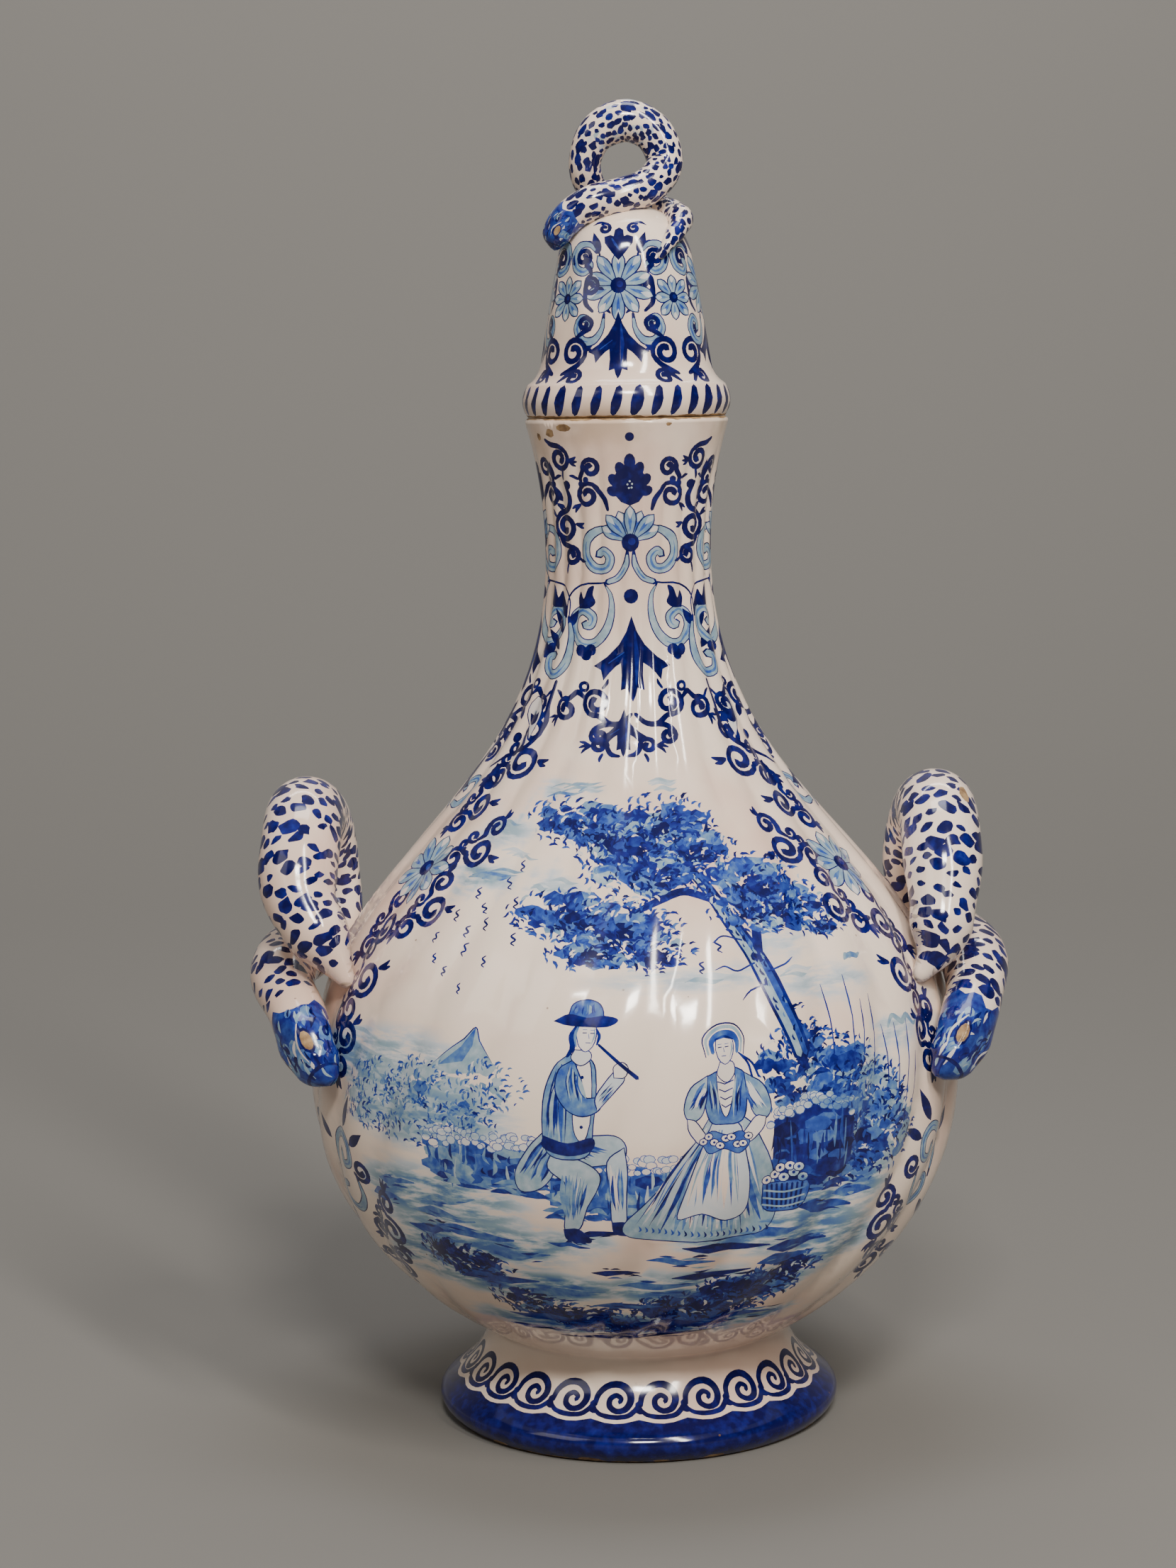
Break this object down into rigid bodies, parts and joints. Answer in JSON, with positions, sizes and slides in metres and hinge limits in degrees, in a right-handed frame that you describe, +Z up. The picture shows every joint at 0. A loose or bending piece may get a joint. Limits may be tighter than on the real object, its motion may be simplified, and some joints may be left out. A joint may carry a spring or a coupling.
{
  "type": "covered bottle vase",
  "caption": "Covered bottle vase in blue and white glazed earthenware: spirally fluted pear body, spreading foot, coiled snake handles, and a bell-shaped lid with a coiled snake knob.",
  "frame": {"origin": "centre of the ring that the foot stands on", "axes": "+Z up along the vase's axis, -Y towards the front with the painted landscape, +X to the front viewer's right, through one handle"},
  "size_m": [0.2997, 0.2582, 0.5201],
  "materials": {
    "painted_glaze": "glossy warm white tin glaze over buff earthenware, painted in cobalt blue"
  },
  "bodies": {
    "root": {"vase": "painted_glaze", "lid": "painted_glaze"}
  },
  "joints": []
}
